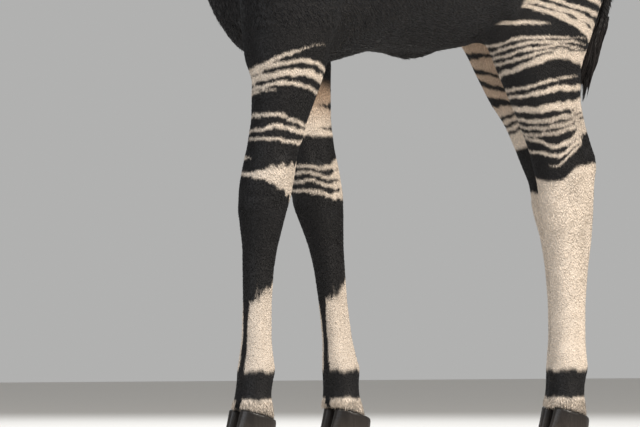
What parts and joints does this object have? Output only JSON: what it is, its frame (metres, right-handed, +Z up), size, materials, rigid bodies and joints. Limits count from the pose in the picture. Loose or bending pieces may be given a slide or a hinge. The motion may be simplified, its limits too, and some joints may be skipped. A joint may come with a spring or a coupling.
{
  "type": "okapi",
  "caption": "Life-size standing okapi with striped legs, large ears, short horns and a tufted tail, resting on its cloven hooves.",
  "frame": {"origin": "on the floor under the middle of the whole animal's box", "axes": "+X towards the head, +Y to the animal's left, +Z up"},
  "size_m": [1.7826, 0.552, 1.9169],
  "materials": {
    "coat": "short velvety dark brown hair, almost black, with a cool sheen",
    "striped_coat": "short hair, black with cream cross stripes",
    "face": "very short hair, grey-cream cheeks and a dark muzzle",
    "tuft_hair": "long black hair",
    "horn": "hair-covered skin with a bare, polished tip",
    "eye": "wet and dark",
    "hoof": "dull dark horn"
  },
  "bodies": {
    "root": {"torso": "coat", "neck": "coat", "eye_left": "eye", "horn_left": "horn", "ear_left": "coat", "eye_right": "eye", "horn_right": "horn", "ear_right": "coat", "head": "face", "foreleg_left_upper": "striped_coat", "foreleg_left_lower": "striped_coat", "foreleg_left_hoof_outer": "hoof", "foreleg_left_hoof_inner": "hoof", "foreleg_right_upper": "striped_coat", "foreleg_right_lower": "striped_coat", "foreleg_right_hoof_outer": "hoof", "foreleg_right_hoof_inner": "hoof", "hindleg_left_upper": "striped_coat", "hindleg_left_lower": "striped_coat", "hindleg_left_hoof_outer": "hoof", "hindleg_left_hoof_inner": "hoof", "hindleg_right_upper": "striped_coat", "hindleg_right_lower": "striped_coat", "hindleg_right_hoof_outer": "hoof", "hindleg_right_hoof_inner": "hoof", "tail": "coat", "tail_tuft": "tuft_hair"}
  },
  "joints": []
}
